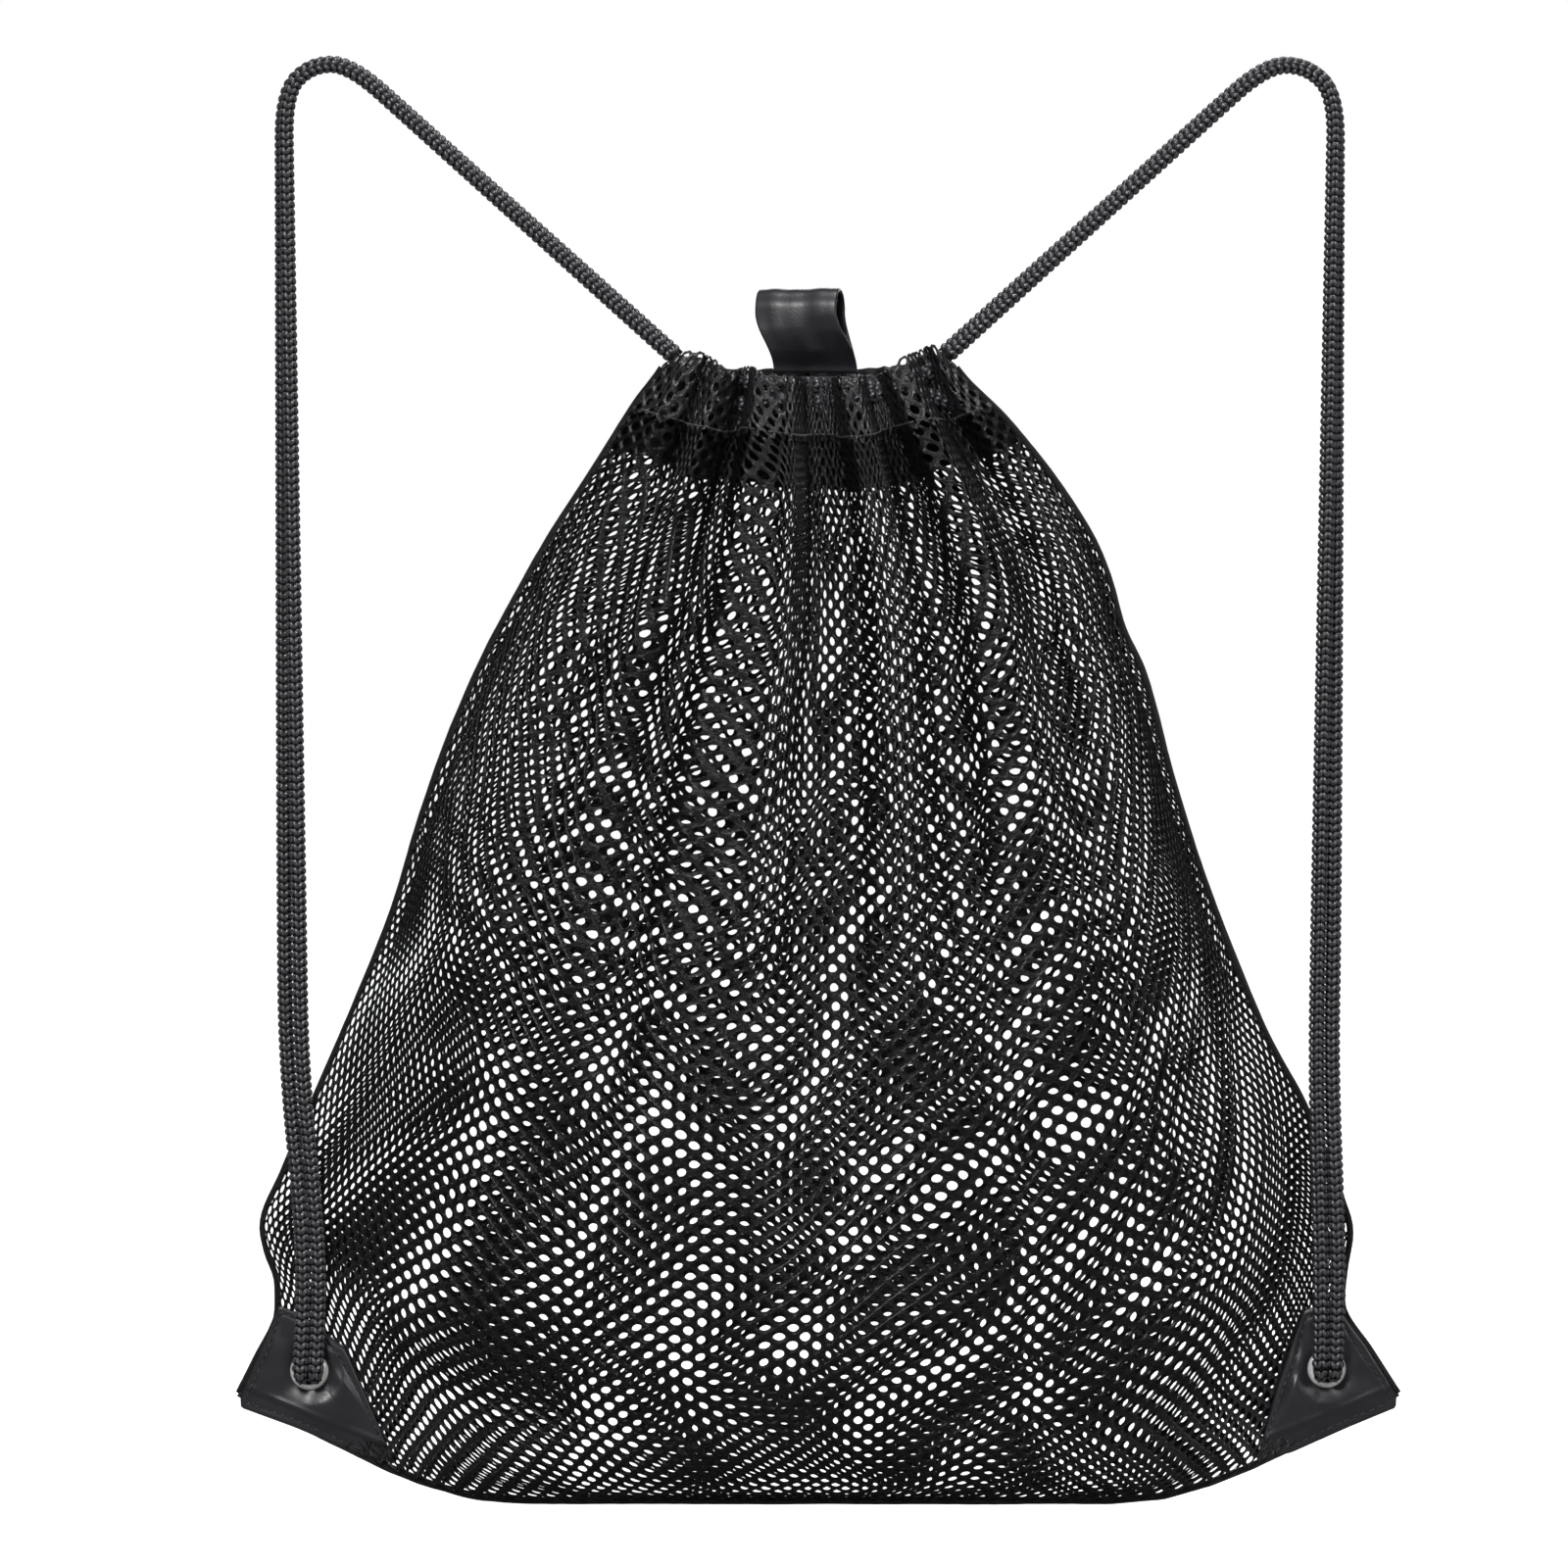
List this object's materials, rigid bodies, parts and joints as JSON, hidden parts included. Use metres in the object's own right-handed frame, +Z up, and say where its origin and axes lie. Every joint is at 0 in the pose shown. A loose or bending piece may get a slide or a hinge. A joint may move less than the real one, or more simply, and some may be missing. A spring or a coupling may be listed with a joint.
{
  "type": "mesh ball bag",
  "caption": "Black mesh drawstring backpack for balls, filled out, with a gathered mouth, braided cord straps, corner eyelets in patches and a hang loop.",
  "frame": {"origin": "on the level line that the two strap arches hang on, between them, where pegs or a rail carry the bag", "axes": "+Z up, +X to the right as seen from the strap side, -Y towards the wearer, where the straps stand"},
  "size_m": [0.3965, 0.136, 0.4928],
  "materials": {
    "mesh_knit": "open warp-knit polyester mesh, round holes about 2.7 mm wide every 4.3 mm, satin yarn",
    "casing_band": "plain woven polyester band, matte",
    "seam_tape": "rolled and overlocked seam",
    "faux_leather": "coated faux leather with fine grain, semi-gloss",
    "nickel": "bright nickel plating",
    "braided_cord": "round braided polyester, silky"
  },
  "bodies": {
    "bag": {"back_casing": "casing_band", "back_mesh_panel": "mesh_knit", "bottom_seam": "seam_tape", "front_casing": "mesh_knit", "front_mesh_panel": "mesh_knit", "hang_loop_tab": "faux_leather", "left_back_corner_patch": "faux_leather", "left_cord_in_casings": "braided_cord", "left_cord_knot": "braided_cord", "left_cord_tails": "braided_cord", "left_eyelet": "nickel", "left_eyelet_washer": "nickel", "left_front_corner_patch": "faux_leather", "left_side_seam": "seam_tape", "right_back_corner_patch": "faux_leather", "right_cord_in_casings": "braided_cord", "right_cord_knot": "braided_cord", "right_cord_tails": "braided_cord", "right_eyelet": "nickel", "right_eyelet_washer": "nickel", "right_front_corner_patch": "faux_leather", "right_side_seam": "seam_tape"},
    "left_straps": {"left_front_strand": "braided_cord", "left_back_strand": "braided_cord"},
    "right_straps": {"right_front_strand": "braided_cord", "right_back_strand": "braided_cord"},
    "hang_loop": {"hang_loop": "faux_leather"}
  },
  "joints": [
    {"name": "left_strap_swing", "type": "hinge", "parent": "bag", "child": "left_straps", "pos_m": [-0.05, 0, -0.0956], "axis": [0.3352, 0.025, 0.9418], "range_deg": [0, 85]},
    {"name": "right_strap_swing", "type": "hinge", "parent": "bag", "child": "right_straps", "pos_m": [0.044, 0, -0.0956], "axis": [0.3491, -0.025, -0.9368], "range_deg": [0, 85]},
    {"name": "hang_loop_tilt", "type": "hinge", "parent": "bag", "child": "hang_loop", "pos_m": [-0.001, 0.0061, -0.1014], "axis": [1, 0, 0], "range_deg": [-35, 45]}
  ]
}
